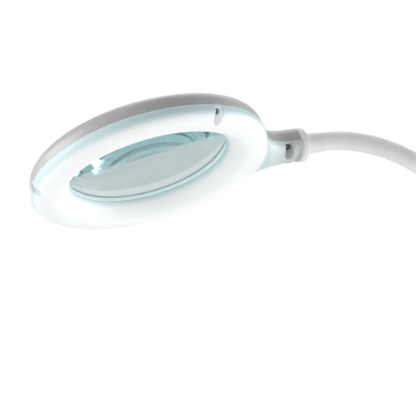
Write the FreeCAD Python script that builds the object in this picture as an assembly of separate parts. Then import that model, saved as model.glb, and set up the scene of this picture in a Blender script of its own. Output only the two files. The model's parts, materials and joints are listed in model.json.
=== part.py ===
import FreeCAD, Part
import math
import os
from FreeCAD import Placement, Rotation, Vector

# Magnifying lamp: a round lit lens head on a flexible arm, over a weighted base.
# Millimetres. The origin is the centre of the base on the surface it stands on, +Z is up,
# and the head hangs out towards -X. Head parts are drawn in the head's own frame (x towards
# the arm, z up, lens centre at the origin, parting plane at z = 0) and then placed.

# ---------------------------------------------------------------- driving dimensions
# head
head_radius = 76.0           # lower cover, at the parting plane
housing_step = 0.6           # how far the upper housing stands inside the lower cover's edge
lower_depth = 9.5            # lower cover below the parting plane
upper_height = 11.5          # upper housing above the parting plane
shell_wall = 2.0
lower_round = 8.5            # rounded edge of the lower cover
upper_round = 8.0            # rounded edge of the upper housing
neck_width = 21.4
neck_blend = 25.0            # concave corner between ring and neck
neck_reach = 28.0            # from the ring's edge to the neck's end
neck_end_wall = 2.0
collar_radius = 11.2
collar_length = 5.0
head_droop = 16.0            # the neck rises this many degrees towards the arm

# lens
lens_radius = 52.5
lens_edge = 3.0              # thickness at the rim
lens_curve = 347.0           # radius of both faces
lens_land = 1.8              # flat ground rim
inset_radius = 12.5
inset_curve = 70.0
inset_from_edge = 16.5       # from the lens's edge to the small lens's middle
inset_angle = 193.0          # from the neck's direction
inset_depth = 1.5            # how deep it is set into the lens
gasket_thickness = 0.5
lip_height = 2.0             # top of the lower cover's inner lip
ring_slope = 10.5            # width of the sloping face round the opening

# lens cover and its hinge
cover_radius = 58.0
cover_thickness = 2.0
cover_gap = 0.5
hinge_pin_radius = 1.2
hinge_running_gap = 0.04
hinge_wall = 1.5
hinge_length = 25.0
hinge_knuckle_length = 5.0
hinge_side_gap = 0.3

# electrical parts in the head
board_thickness = 1.6
led_board_width = 11.5
led_count = 36
led_size = 2.8
led_height = 1.4
driver_length = 21.0
driver_before = 13.9         # driver board's near end to the button's middle
driver_width = 14.0
switch_size = 6.0
switch_height = 3.4
switch_plunger = 1.0
switch_plunger_radius = 1.6
button_radius = 4.5
button_proud = 1.2
button_travel = 0.6
button_gap = 0.2
button_flange = 1.0
button_reach = 6.0           # beyond the ring's edge, along the neck
wire_radius = 0.7
post_radius = 1.5            # posts that carry the driver board

# fasteners
screw_radius = 1.5
screw_head_radius = 2.8
screw_head_height = 2.0
screw_side_gap = 0.15
screw_wall = 1.8
screw_length = 5.0            # in the housing
ring_screw_inset = 5.0       # inside the ring's edge
ring_screw_angles = [72.0, 180.0, 288.0]
neck_screw_back = 10.5       # from the neck's end
neck_screw_side = 5.5        # to each side of the neck's middle
pocket_width = 6.4
pocket_floor = 1.2           # thickness left above a screw's pocket
ferrule_nut_height = 2.0
ferrule_nut_radius = 7.5
thread_gap = 0.02

# flexible arm
sleeve_radius = 6.25
sleeve_wall = 1.6
core_radius = 3.4
core_ball_radius = 3.0
core_running_gap = 0.05
core_neck_radius = 1.6
socket_wall = 1.25
cup_floor = 1.5              # cup's floor under the ball
cup_rise = 1.2               # cup's rim above the ball's centre
grip_length = 6.0            # ring on each core link that holds its sleeve
link_angle = 20.0            # most that one link turns on the next
link_gap = 0.2               # left between two sleeves at that angle
ferrule_length = 14.0
ferrule_radius = 7.0
ferrule_tip_radius = 6.5
thread_radius = 5.0
arm_stem = 282.0             # straight upright stretch
arm_bend = 95.0              # radius of the arch
arm_place = 60.0             # the upright stretch's distance from the base's centre
stem_links = 4
arch_links = 4

# base
base_length = 200.0
base_width = 160.0
base_height = 30.0
base_corner = 48.0
base_round = 9.0
base_wall = 2.5
base_lift = 2.0              # gap under the base, which the feet hold
plate_thickness = 2.0
plate_gap = 0.3
weight_height = 15.0
weight_gap = 3.0
foot_radius = 9.0
foot_thickness = 3.0
foot_places = [0.36, 0.34]   # shares of the base's length and width
base_screw_places = [0.26, 0.40]
socket_flange_radius = 13.0
socket_flange_height = 3.0
socket_radius = 8.0
nut_thickness = 5.0
nut_radius = 12.0
fit_gap = 0.1                # between parts that are assembled by hand
jack_width = 9.0
jack_height = 11.0
jack_depth = 14.0
jack_bore_radius = 2.75
jack_pin_radius = 1.05
jack_pin_length = 9.0        # free length
jack_root_radius = 0.8
lead_radius = 1.1
lead_gap = 1.0

# ---------------------------------------------------------------- sizes that follow
neck_end = head_radius + neck_reach
inset_offset = lens_radius - inset_from_edge
button_place = head_radius + button_reach
ring_screw_place = head_radius - ring_screw_inset
neck_screw_place = neck_end - neck_screw_back
housing_top = upper_height
ceiling = upper_height - shell_wall
lip_radius = lens_radius - lens_land + fit_gap
lens_bottom = lip_height + gasket_thickness
lens_top = lens_bottom + lens_edge
lens_clear = lens_radius - lens_land
seat_radius = lens_radius + 2 * fit_gap
retainer_outer = seat_radius + shell_wall
head_axis_z = (upper_height - lower_depth) / 2
collar_end = neck_end + collar_length
arm_end = collar_end + ferrule_length
lens_rise = lens_curve - math.sqrt(lens_curve**2 - lens_clear**2)
cover_bottom = max(lens_top + lens_rise, housing_top) + cover_gap
cover_top = cover_bottom + cover_thickness
hinge_radius = hinge_pin_radius + hinge_running_gap + hinge_wall
hinge_x = cover_radius + hinge_radius + 2.0
hinge_z = max(cover_bottom, housing_top) + hinge_radius
base_top = base_height
socket_top = base_top + socket_flange_height
arm_start = socket_top + ferrule_length
arch_turn = math.radians(90.0 + head_droop)
arm_length = arm_stem + arm_bend * arch_turn
sleeve_bore = sleeve_radius - sleeve_wall
sleeve_back = sleeve_radius * math.tan(math.radians(link_angle / 2)) + link_gap
socket_outer = core_ball_radius + core_running_gap + socket_wall

up = Vector(0, 0, 1)
along = Vector(1, 0, 0)
across = Vector(0, 1, 0)


# ---------------------------------------------------------------- general shapes
def cylinder(radius, height, place, direction=up):
    return Part.makeCylinder(radius, height, place, direction)


def tube(outer, inner, height, place, direction=up):
    return cylinder(outer, height, place, direction).cut(cylinder(inner, height, place, direction))


def box(low, high):
    size = high - low
    return Part.makeBox(size.x, size.y, size.z, low)


def revolved(points, place=Vector(0, 0, 0), direction=up):
    """A closed outline of (radius, height) points, turned about an axis."""
    outline = [Vector(radius, 0, height) for radius, height in points]
    face = Part.Face(Part.makePolygon(outline + outline[:1]))
    solid = face.revolve(Vector(0, 0, 0), up, 360)
    solid.Placement = Placement(place, Rotation(up, direction))
    return solid


def joined(shapes):
    first, *others = shapes
    return first.fuse(others).removeSplitter() if others else first


def prism(outline, low, high):
    solid = Part.Face(outline).extrude(Vector(0, 0, high - low))
    solid.translate(Vector(0, 0, low))
    return solid


def edges_at(solid, height, skip=None):
    found = []
    for edge in solid.Edges:
        box_of = edge.BoundBox
        level = abs(box_of.ZMin - height) < 1e-4 and abs(box_of.ZMax - height) < 1e-4
        if level and not (skip and skip(edge)):
            found.append(edge)
    return found


def hexagon(radius, height, place, direction):
    corners = [Vector(radius * math.cos(math.radians(a)), radius * math.sin(math.radians(a)), 0)
               for a in range(0, 361, 60)]
    solid = Part.Face(Part.makePolygon(corners)).extrude(Vector(0, 0, height))
    solid.Placement = Placement(place, Rotation(up, direction))
    return solid


def pan_screw(head_at, length, direction):
    """A pan-head screw: direction points from the head along the shank."""
    top = head_at - direction * screw_head_height
    head = cylinder(screw_head_radius, screw_head_height, top, direction)
    rounded = head.makeFillet(0.8, edges_far_from(head, head_at))
    shank = cylinder(screw_radius, length, head_at, direction)
    half = screw_head_radius * 0.7
    across_bar = box(Vector(-half, -0.4, -0.4), Vector(half, 0.4, 0.9))
    along_bar = box(Vector(-0.4, -half, -0.4), Vector(0.4, half, 0.9))
    cross = across_bar.fuse(along_bar)
    cross.Placement = Placement(top, Rotation(up, direction))
    return joined([rounded, shank]).cut(cross)


def edges_far_from(solid, place):
    circles = [edge for edge in solid.Edges if edge.Curve.TypeId == "Part::GeomCircle"]
    return [max(circles, key=lambda edge: edge.Curve.Center.distanceToPoint(place))]


# ---------------------------------------------------------------- the arm's path
def arm_point(s):
    """The arm's centre line, s millimetres from the top of the lower ferrule."""
    start = Vector(arm_place, 0, arm_start)
    if s <= arm_stem:
        return start + up * s
    turn = (s - arm_stem) / arm_bend
    centre = start + Vector(-arm_bend, 0, arm_stem)
    return centre + Vector(math.cos(turn), 0, math.sin(turn)) * arm_bend


def arm_direction(s):
    turn = max(s - arm_stem, 0) / arm_bend
    return Vector(-math.sin(turn), 0, math.cos(turn))


def arm_rod(radius, first, last):
    """A round rod along the arm's centre line, from one length to another."""
    pieces = []
    if first < arm_stem - 1e-6:
        end = min(last, arm_stem)
        pieces.append(cylinder(radius, end - first, arm_point(first), up))
    if last > arm_stem + 1e-6:
        begin = max(first, arm_stem)
        circle = Part.Face(Part.Wire(Part.makeCircle(radius, arm_point(begin), arm_direction(begin))))
        centre = arm_point(0) + Vector(-arm_bend, 0, arm_stem)
        pieces.append(circle.revolve(centre, -across, math.degrees((last - begin) / arm_bend)))
    return joined(pieces)


def joint_places():
    """Where one link meets the next: evenly along the stem, then evenly along the arch."""
    arch = arm_length - arm_stem
    stem = [arm_stem * (k + 0.5) / stem_links for k in range(stem_links)]
    return stem + [arm_stem + arch * (k + 0.5) / arch_links for k in range(arch_links)]


def arm_sleeve(first, last):
    return arm_rod(sleeve_radius, first, last).cut(arm_rod(sleeve_bore, first, last))


def arm_core(first, last, ball, socket):
    """One link of the core: a rod with a ball, a cup and a ring that grips the sleeve."""
    begin = first + core_ball_radius + 0.8 if ball else first
    end = last - core_ball_radius - cup_floor if socket else last
    middle = (begin + end) / 2
    pieces = [arm_rod(core_radius, begin, end)]
    pieces.append(arm_rod(sleeve_bore, middle - grip_length / 2, middle + grip_length / 2))
    if ball:
        pieces.append(Part.makeSphere(core_ball_radius, arm_point(first)))
        neck = cylinder(core_neck_radius, begin - first + 0.5, arm_point(first), arm_direction(first))
        pieces.append(neck)
    core = joined(pieces)
    if socket:
        direction = arm_direction(last)
        place = arm_point(last)
        height = core_ball_radius + cup_floor
        cup = cylinder(socket_outer, height + cup_rise, place - direction * height, direction)
        seat = Part.makeSphere(core_ball_radius + core_running_gap, place)
        core = joined([core, cup]).cut(seat)
    return core


def make_arm(parts):
    places = joint_places()
    count = len(places)
    seat = ferrule_length - 2.0
    parts["arm_core_base"] = joined([
        cylinder(core_radius, seat, arm_point(0) - up * seat), arm_core(0, places[0], False, True)])
    parts["arm_sleeve_base"] = arm_sleeve(0, places[0] - sleeve_back)
    for k in range(count - 1):
        parts[f"arm_core_{k + 1}"] = arm_core(places[k], places[k + 1], True, True)
        parts[f"arm_sleeve_{k + 1}"] = arm_sleeve(places[k] + sleeve_back, places[k + 1] - sleeve_back)
    direction = arm_direction(arm_length)
    end = cylinder(core_radius, seat, arm_point(arm_length), direction)
    parts["arm_core_head"] = joined([arm_core(places[-1], arm_length, True, False), end])
    parts["arm_sleeve_head"] = arm_sleeve(places[-1] + sleeve_back, arm_length)


def ferrule(place, direction, thread):
    """Turned ferrule: place is its shoulder, direction points along the arm."""
    outline = [(core_radius + fit_gap, 2.0), (core_radius + fit_gap, ferrule_length),
               (ferrule_tip_radius - 0.6, ferrule_length), (ferrule_tip_radius, ferrule_length - 0.6),
               (ferrule_radius, 1.2), (ferrule_radius, 0), (thread_radius, 0), (thread_radius, -thread),
               (lead_radius * 2, -thread), (lead_radius * 2, 2.0)]
    return revolved(outline, place, direction)


# ---------------------------------------------------------------- head
def head_outline(inset, end):
    """Ring and neck seen from above, as one closed wire, moved inwards by inset."""
    radius = head_radius - inset
    half = neck_width / 2 - inset
    blend = neck_blend + inset
    centre = Vector(math.sqrt((radius + blend)**2 - (half + blend)**2), half + blend, 0)
    touch = centre * (radius / (radius + blend))
    straight = Vector(centre.x, half, 0)
    towards = (touch - centre).normalize() + (straight - centre).normalize()
    middle = centre + towards.normalize() * blend

    def mirror(point):
        return Vector(point.x, -point.y, 0)

    corner = Vector(end, half, 0)
    return Part.Wire([
        Part.LineSegment(corner, straight).toShape(),
        Part.Arc(straight, middle, touch).toShape(),
        Part.Arc(touch, Vector(-radius, 0, 0), mirror(touch)).toShape(),
        Part.Arc(mirror(touch), mirror(middle), mirror(straight)).toShape(),
        Part.LineSegment(mirror(straight), mirror(corner)).toShape(),
        Part.LineSegment(mirror(corner), corner).toShape()])


def rounded_head(inset, low, high, level, radius, end):
    """The head's outline as a slab, with the edge at one level rounded all round."""
    slab = prism(head_outline(inset, end), low, high)

    def at_neck_end(edge):
        return abs(edge.BoundBox.XMin - end) < 1e-4

    return slab.makeFillet(radius, edges_at(slab, level, at_neck_end))


def opening_cone(grow):
    """The space below the lens: it widens downwards along a curved slope."""
    inner = lip_radius + grow
    outer = lip_radius + ring_slope + grow
    low = -lower_depth
    arc = Part.Arc(Vector(inner, 0, lip_height),
                   Vector(inner + ring_slope * 0.3, 0, lip_height + (low - lip_height) * 0.62),
                   Vector(outer, 0, low)).toShape()
    rest = Part.makePolygon([Vector(outer, 0, low), Vector(outer, 0, low - 1), Vector(0, 0, low - 1),
                             Vector(0, 0, lip_height + 1), Vector(inner, 0, lip_height + 1),
                             Vector(inner, 0, lip_height)])
    face = Part.Face(Part.Wire([arc] + rest.Edges))
    return face.revolve(Vector(0, 0, 0), up, 360)


def screw_places():
    """Place of each screw and the direction in which its pocket opens, for the ring and for the neck."""
    ring = [(ring_screw_place * math.cos(math.radians(a)), ring_screw_place * math.sin(math.radians(a)), a)
            for a in ring_screw_angles]
    neck = [(neck_screw_place, side * neck_screw_side, side * 90.0) for side in (-1, 1)]
    return ring, neck


def ferrule_bore():
    start = Vector(neck_end - neck_end_wall - 1, 0, head_axis_z)
    return cylinder(thread_radius + fit_gap, neck_end_wall + 2, start, along)


def make_lower_cover():
    outer = rounded_head(0, -lower_depth, 0, -lower_depth, lower_round, neck_end)
    cavity = rounded_head(shell_wall, -lower_depth + shell_wall, 1, -lower_depth + shell_wall,
                          lower_round - shell_wall, neck_end - neck_end_wall)
    cavity = cavity.cut(opening_cone(shell_wall))
    half = pocket_width / 2
    ring, neck = screw_places()
    bosses = []
    pockets = []
    for x, y, angle in ring + neck:
        bosses.append(cylinder(half + screw_wall, lower_depth, Vector(x, y, -lower_depth)))
        slot = box(Vector(0, -half, -lower_depth - 1), Vector(20, half, -pocket_floor))
        slot = slot.fuse(cylinder(half, lower_depth + 1 - pocket_floor, Vector(0, 0, -lower_depth - 1)))
        slot.Placement = Placement(Vector(x, y, 0), Rotation(up, angle))
        pockets.append(slot)
        pockets.append(cylinder(screw_radius + screw_side_gap, 20, Vector(x, y, -lower_depth)))
    columns = joined(bosses).common(outer)
    lip = tube(lip_radius + shell_wall + 1.0, lip_radius, lip_height + 1.0, Vector(0, 0, -1.0))
    shell = outer.cut(opening_cone(0)).cut(cavity)
    return joined([shell, columns, lip]).cut(joined(pockets)).cut(opening_cone(0)).cut(ferrule_bore())


def make_upper_housing():
    outer = rounded_head(housing_step, 0, upper_height, upper_height, upper_round, neck_end)
    cavity = rounded_head(housing_step + shell_wall, -1, ceiling, ceiling, upper_round - shell_wall,
                          neck_end - neck_end_wall)
    wall_low = lip_height + fit_gap
    inner_wall = tube(retainer_outer, seat_radius, ceiling - wall_low, Vector(0, 0, wall_low))
    ring, neck = screw_places()
    posts = [cylinder(screw_radius + screw_wall, ceiling, Vector(x, y, 0)) for x, y, _ in ring + neck]
    posts += driver_posts()
    body = joined([outer.cut(cavity), inner_wall, joined(posts).common(outer)])
    window = cylinder(lens_clear, 20, Vector(0, 0, ceiling - 1))
    bore = screw_radius + thread_gap
    holes = [cylinder(bore, screw_length + 0.5, Vector(x, y, 0)) for x, y, _ in ring + neck]
    button_hole = cylinder(button_radius + button_gap, 10, Vector(button_place, 0, ceiling - 1))
    body = joined([body, hinge_lugs()]).cut(joined([window, button_hole] + holes))
    return body.cut(hinge_bore(0.0)).cut(ferrule_bore())


def hinge_bore(gap):
    start = Vector(hinge_x, -hinge_length / 2 - 1, hinge_z)
    return cylinder(hinge_pin_radius + gap, hinge_length + 2, start, across)


def hinge_lug(low, high):
    """One hinge ear on the housing: a round eye on a block that stands on the top face."""
    length = high - low
    eye = cylinder(hinge_radius, length, Vector(hinge_x, low, hinge_z), across)
    foot = box(Vector(hinge_x - hinge_radius, low, ceiling + 0.5),
               Vector(hinge_x + hinge_radius, high, hinge_z))
    return joined([eye, foot])


def hinge_lugs():
    half = hinge_length / 2
    inner = half - hinge_knuckle_length
    return joined([hinge_lug(-half, -inner), hinge_lug(inner, half)])


def make_lens_cover():
    """Flat round cover with a rim, and a knuckle that sits between the housing's ears."""
    disc = cylinder(cover_radius, cover_thickness, Vector(0, 0, cover_bottom))
    disc = disc.makeFillet(cover_thickness * 0.7, edges_at(disc, cover_top))
    half = hinge_length / 2 - hinge_knuckle_length - hinge_side_gap
    knuckle = cylinder(hinge_radius, 2 * half, Vector(hinge_x, -half, hinge_z), across)
    tab = box(Vector(cover_radius - 8.0, -half, cover_bottom), Vector(hinge_x, half, cover_top))
    grip = cylinder(8.0, cover_thickness, Vector(-cover_radius + 1.0, 0, cover_bottom))
    return joined([disc, knuckle, tab, grip]).cut(hinge_bore(hinge_running_gap))


def make_lens():
    """Biconvex lens with a flat ground rim, and the small strong lens set in its lower face."""
    sag = lens_curve - math.sqrt(lens_curve**2 - lens_clear**2)
    rim = cylinder(lens_radius, lens_edge, Vector(0, 0, lens_bottom))
    lower_centre = Vector(0, 0, lens_bottom - sag + lens_curve)
    lower_ball = Part.makeSphere(lens_curve, lower_centre)
    upper_ball = Part.makeSphere(lens_curve, Vector(0, 0, lens_top + sag - lens_curve))
    disc = cylinder(lens_clear, lens_edge + 2 * sag, Vector(0, 0, lens_bottom - sag))
    lens = joined([rim, disc.common(lower_ball).common(upper_ball)])

    angle = math.radians(inset_angle)
    place = Vector(math.cos(angle), math.sin(angle), 0) * inset_offset
    out = (place - up * math.sqrt(lens_curve**2 - inset_offset**2)).normalize()
    rim_level = math.sqrt(lens_curve**2 - inset_radius**2)
    ball_centre = lower_centre + out * (rim_level - math.sqrt(inset_curve**2 - inset_radius**2))
    seat_start = lower_centre + out * (rim_level - inset_depth)
    seat = cylinder(inset_radius, inset_depth + inset_radius, seat_start, out)
    inset = seat.common(Part.makeSphere(inset_curve, ball_centre))
    return lens.cut(seat), inset


def led_ring():
    inner = retainer_outer + 4 * fit_gap
    return inner, inner + led_board_width, ceiling - board_thickness


def driver_box():
    """Low and high corners of the driver board, which hangs under the switch and the button."""
    start = button_place - driver_before
    plunger_top = button_flange_low() - button_travel - fit_gap
    top = plunger_top - switch_plunger - switch_height
    half = driver_width / 2
    return Vector(start, -half, top - board_thickness), Vector(start + driver_length, half, top)


def driver_posts():
    low, high = driver_box()
    edge = post_radius + 0.2
    places = [(x, y) for x in (low.x + edge, high.x - edge) for y in (low.y + edge, high.y - edge)]
    return [cylinder(post_radius, ceiling - high.z, Vector(x, y, high.z)) for x, y in places]


def make_boards(parts):
    inner, outer, low = led_ring()
    parts["led_board"] = tube(outer, inner, board_thickness, Vector(0, 0, low))
    half = led_size / 2
    middle = (inner + outer) / 2
    leds = []
    for k in range(led_count):
        led = box(Vector(middle - half, -half, low - led_height), Vector(middle + half, half, low))
        led.rotate(Vector(0, 0, 0), up, 360.0 * (k + 0.5) / led_count)
        leds.append(led)
    parts["leds"] = Part.makeCompound(leds)

    board_low, board_high = driver_box()
    parts["driver_board"] = box(board_low, board_high)
    half = switch_size / 2
    top = board_high.z
    body = box(Vector(button_place - half, -half, top),
               Vector(button_place + half, half, top + switch_height))
    plunger = cylinder(switch_plunger_radius, switch_plunger, Vector(button_place, 0, top + switch_height))
    parts["switch_body"] = joined([body, plunger])
    parts["led_leads"] = Part.makeCompound([led_lead(sign) for sign in (-1, 1)])


def led_lead(side):
    """One wire from the driver board up and across to the underside of the ring board."""
    low, high = driver_box()
    level = led_ring()[2] - wire_radius
    place = Vector(low.x + 4.5, side * driver_width * 0.2, high.z)
    rise = cylinder(wire_radius, level - high.z, place)
    elbow = place + up * (level - high.z)
    run = cylinder(wire_radius, place.x - led_ring()[1] + 2.0, elbow, -along)
    return joined([rise, Part.makeSphere(wire_radius, elbow), run])


def button_flange_low():
    return ceiling - 2 * button_gap - button_flange


def make_button():
    """Round cap with a flange that keeps it under the housing's top face."""
    low = button_flange_low()
    cap = cylinder(button_radius, housing_top + button_proud - low, Vector(button_place, 0, low))
    cap = cap.makeFillet(0.8, edges_at(cap, housing_top + button_proud))
    flange = cylinder(button_radius + button_flange, button_flange, Vector(button_place, 0, low))
    return joined([cap, flange])


def make_head(parts):
    parts["diffuser_cover"] = make_lower_cover()
    parts["upper_housing"] = make_upper_housing()
    parts["lens"], parts["inset_lens"] = make_lens()
    parts["lens_gasket"] = tube(lens_radius, lip_radius, gasket_thickness, Vector(0, 0, lip_height))
    parts["lens_retainer"] = tube(lens_radius, lens_clear, ceiling - lens_top, Vector(0, 0, lens_top))
    make_boards(parts)
    ring, neck = screw_places()
    length = screw_length + pocket_floor
    for name, places in (("ring_screws", ring), ("neck_screws", neck)):
        screws = [pan_screw(Vector(x, y, -pocket_floor), length, up) for x, y, _ in places]
        parts[name] = Part.makeCompound(screws)
    pin_start = Vector(hinge_x, -hinge_length / 2, hinge_z)
    parts["hinge_pin"] = cylinder(hinge_pin_radius, hinge_length, pin_start, across)
    axis = Vector(0, 0, head_axis_z)
    collar = tube(collar_radius, thread_radius + fit_gap, collar_length, axis + along * neck_end, along)
    rim = [edge for edge in collar.Edges if abs(edge.Length - 2 * math.pi * collar_radius) < 1e-3]
    parts["neck_collar"] = collar.makeFillet(1.2, rim)
    thread = collar_length + neck_end_wall + ferrule_nut_height + 2 * fit_gap
    parts["upper_ferrule"] = ferrule(axis + along * collar_end, along, thread)
    nut_low = neck_end - neck_end_wall - ferrule_nut_height
    nut = hexagon(ferrule_nut_radius, ferrule_nut_height, axis + along * nut_low, along)
    nut_bore = cylinder(thread_radius + thread_gap, 10, axis + along * (nut_low - 2), along)
    parts["ferrule_nut"] = nut.cut(nut_bore)


def head_placement():
    """Turns the head so that its neck meets the end of the arm."""
    turn = Rotation(across, -head_droop)
    neck_point = turn.multVec(Vector(arm_end, 0, head_axis_z))
    return Placement(arm_point(arm_length) - neck_point, turn)


# ---------------------------------------------------------------- base
def base_outline(inset):
    half_x = base_length / 2 - inset
    half_y = base_width / 2 - inset
    corner = base_corner - inset
    slab = Part.makeBox(2 * half_x, 2 * half_y, 10, Vector(-half_x, -half_y, 0))
    upright = [edge for edge in slab.Edges if abs(edge.BoundBox.ZLength - 10) < 1e-3]
    return slab.makeFillet(corner, upright)


def base_slab(inset, low, high, top_round=0.0):
    bottom = [face for face in base_outline(inset).Faces if abs(face.BoundBox.ZMax) < 1e-6][0]
    slab = prism(bottom.OuterWire, low, high)
    return slab.makeFillet(top_round, edges_at(slab, high)) if top_round else slab


def corner_places(shares):
    return [(sx * shares[0] * base_length, sy * shares[1] * base_width) for sx in (-1, 1) for sy in (-1, 1)]


def jack_place():
    """Centre of the power jack's mouth, in the base's rear wall."""
    return Vector(base_length / 2, 0, base_lift + plate_thickness + jack_height / 2)


def make_base(parts):
    inside_top = base_top - base_wall
    plate_top = base_lift + plate_thickness
    outer = base_slab(0, base_lift, base_top, base_round)
    hollow = base_slab(base_wall, base_lift - 1, inside_top, base_round - base_wall)
    screws = corner_places(base_screw_places)
    height = inside_top - plate_top + 1
    posts = [cylinder(screw_radius + screw_wall, height, Vector(x, y, plate_top)) for x, y in screws]
    shell = joined([outer.cut(hollow)] + posts)
    bores = [cylinder(screw_radius + thread_gap, 12, Vector(x, y, plate_top - 1)) for x, y in screws]
    stem_hole = cylinder(socket_radius + fit_gap, 20, Vector(arm_place, 0, inside_top - 5))
    mouth = jack_place()
    reach = base_wall + 4
    window = box(mouth + Vector(-reach, -jack_width / 2 - fit_gap, -jack_height / 2 - 3),
                 mouth + Vector(1, jack_width / 2 + fit_gap, jack_height / 2 + fit_gap))
    parts["base_cover"] = shell.cut(joined(bores)).cut(stem_hole).cut(window)

    plate = base_slab(base_wall + plate_gap, base_lift, plate_top)
    tongue = box(Vector(base_length / 2 - 2 * base_wall, -jack_width / 2, base_lift),
                 Vector(base_length / 2, jack_width / 2, plate_top))
    plate = joined([plate, tongue])
    feet = corner_places(foot_places) + [(0.0, 0.0)]
    recess = foot_thickness - base_lift
    foot_holes = [cylinder(foot_radius + fit_gap, recess, Vector(x, y, base_lift)) for x, y in feet]
    clear = screw_radius + screw_side_gap
    screw_holes = [cylinder(clear, 10, Vector(x, y, base_lift - 1)) for x, y in screws]
    heads = [cylinder(screw_head_radius + 0.4, 1.2, Vector(x, y, base_lift)) for x, y in screws]
    parts["bottom_plate"] = plate.cut(joined(foot_holes + screw_holes + heads))
    parts["rubber_feet"] = Part.makeCompound(
        [cylinder(foot_radius, foot_thickness, Vector(x, y, 0)) for x, y in feet])
    parts["base_screws"] = Part.makeCompound(
        [pan_screw(Vector(x, y, base_lift + 1.2), 9.0, up) for x, y in screws])

    weight = base_slab(base_wall + weight_gap, plate_top, plate_top + weight_height)
    clear = [cylinder(screw_radius + screw_wall + 1.0, 60, Vector(x, y, 0)) for x, y in screws]
    side = jack_width / 2 + 2
    jack_room = box(mouth + Vector(-jack_depth - 3, -side, -20), mouth + Vector(10, side, 20))
    nut_room = cylinder(nut_radius + 3, 60, Vector(arm_place, 0, 0))
    half = lead_radius + lead_gap
    lead_room = box(Vector(arm_place, -half, 0), Vector(mouth.x - jack_depth, half, 60))
    parts["base_weight"] = weight.cut(joined(clear + [jack_room, nut_room, lead_room]))
    make_arm_socket(parts, inside_top)
    make_jack(parts, mouth)


def make_arm_socket(parts, inside_top):
    """Flanged bush through the top of the base, its nut below, and the ferrule on it."""
    place = Vector(arm_place, 0, 0)
    low = inside_top - nut_thickness - 1.5
    outline = [(thread_radius + fit_gap, low), (socket_radius, low), (socket_radius, base_top),
               (socket_flange_radius, base_top), (socket_flange_radius, socket_top - 1.0),
               (socket_flange_radius - 1.0, socket_top), (thread_radius + fit_gap, socket_top)]
    parts["arm_socket"] = revolved(outline, place)
    nut = hexagon(nut_radius, nut_thickness, place + up * (inside_top - nut_thickness), up)
    parts["socket_nut"] = nut.cut(cylinder(socket_radius + thread_gap, 30, place))
    parts["lower_ferrule"] = ferrule(place + up * socket_top, up, socket_top - low)


def make_jack(parts, mouth):
    """Round power jack: a moulded block with a blind bore, and the contact pin inside it."""
    low = mouth + Vector(-jack_depth, -jack_width / 2, -jack_height / 2)
    high = mouth + Vector(0, jack_width / 2, jack_height / 2)
    bore_depth = jack_pin_length + 0.5
    block = box(low, high).cut(cylinder(jack_bore_radius, bore_depth, mouth, -along))
    parts["power_jack"] = block.cut(cylinder(jack_root_radius, jack_depth, mouth, -along))
    rear = mouth - along * jack_depth
    root = cylinder(jack_root_radius, jack_depth - bore_depth, rear, along)
    tip = cylinder(jack_pin_radius, jack_pin_length, mouth - along * bore_depth, along)
    parts["jack_pin"] = joined([root, tip])
    elbow = Vector(arm_place, 0, mouth.z)
    flat = cylinder(lead_radius, rear.x - elbow.x, elbow, along)
    rise = cylinder(lead_radius, base_top - elbow.z, elbow)
    parts["supply_lead"] = joined([flat, rise, Part.makeSphere(lead_radius, elbow)])


# ---------------------------------------------------------------- all parts
def make_all():
    parts = {}
    make_head(parts)
    parts["lens_cover"] = make_lens_cover()
    parts["power_button"] = make_button()
    place = head_placement()
    for name in list(parts):
        parts[name].Placement = place.multiply(parts[name].Placement)
    make_arm(parts)
    make_base(parts)
    return parts


os.makedirs("parts", exist_ok=True)
for name, shape in make_all().items():
    shape.exportStep(f"parts/{name}.step")
    box_of = shape.BoundBox
    print(f"{name:18s} solids {len(shape.Solids):2d} valid {shape.isValid()} volume {shape.Volume:10.1f}"
          f"  x {box_of.XMin:7.1f} {box_of.XMax:7.1f}  y {box_of.YMin:6.1f} {box_of.YMax:6.1f}"
          f"  z {box_of.ZMin:6.1f} {box_of.ZMax:6.1f}")
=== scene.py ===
# %% [markdown]
# # Magnifying lamp
# A lit ring round a thick lens, on a flexible arm over a weighted base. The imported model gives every
# size and every joint. This lesson adds the surfaces and finishes: frosted cover, glass, moulded
# plastic, soft sleeve. All lengths are metres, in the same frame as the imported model.

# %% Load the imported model
import json
import math
import bpy
import numpy as np
from mathutils import Matrix, Vector


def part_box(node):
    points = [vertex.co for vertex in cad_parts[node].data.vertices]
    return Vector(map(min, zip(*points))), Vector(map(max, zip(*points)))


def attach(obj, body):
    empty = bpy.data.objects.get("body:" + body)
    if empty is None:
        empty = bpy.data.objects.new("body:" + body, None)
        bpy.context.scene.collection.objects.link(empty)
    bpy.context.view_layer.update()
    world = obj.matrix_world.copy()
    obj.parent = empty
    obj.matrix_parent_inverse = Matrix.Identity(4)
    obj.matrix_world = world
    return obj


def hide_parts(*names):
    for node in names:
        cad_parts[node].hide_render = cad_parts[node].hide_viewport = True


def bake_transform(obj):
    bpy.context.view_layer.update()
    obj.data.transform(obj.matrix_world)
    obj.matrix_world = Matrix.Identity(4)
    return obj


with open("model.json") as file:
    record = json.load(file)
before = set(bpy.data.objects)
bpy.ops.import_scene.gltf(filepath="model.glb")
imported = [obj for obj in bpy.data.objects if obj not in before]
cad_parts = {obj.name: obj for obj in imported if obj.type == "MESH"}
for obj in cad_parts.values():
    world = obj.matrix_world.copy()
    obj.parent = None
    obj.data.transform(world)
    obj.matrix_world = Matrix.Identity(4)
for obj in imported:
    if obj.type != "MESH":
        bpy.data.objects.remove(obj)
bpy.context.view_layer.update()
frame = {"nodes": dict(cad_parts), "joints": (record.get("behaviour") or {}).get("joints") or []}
MM = 0.001
joints = {joint["name"]: joint for joint in frame["joints"]}

# %% [markdown]
# ## The head's own axes
# The head hangs at a slant, so its surfaces are easier to write in its own axes: x along the neck,
# z out of the top face, the lens centre at the origin. The push button travels straight down
# through the top face, so its slide gives the z axis, and the lens gives the centre.

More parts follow.
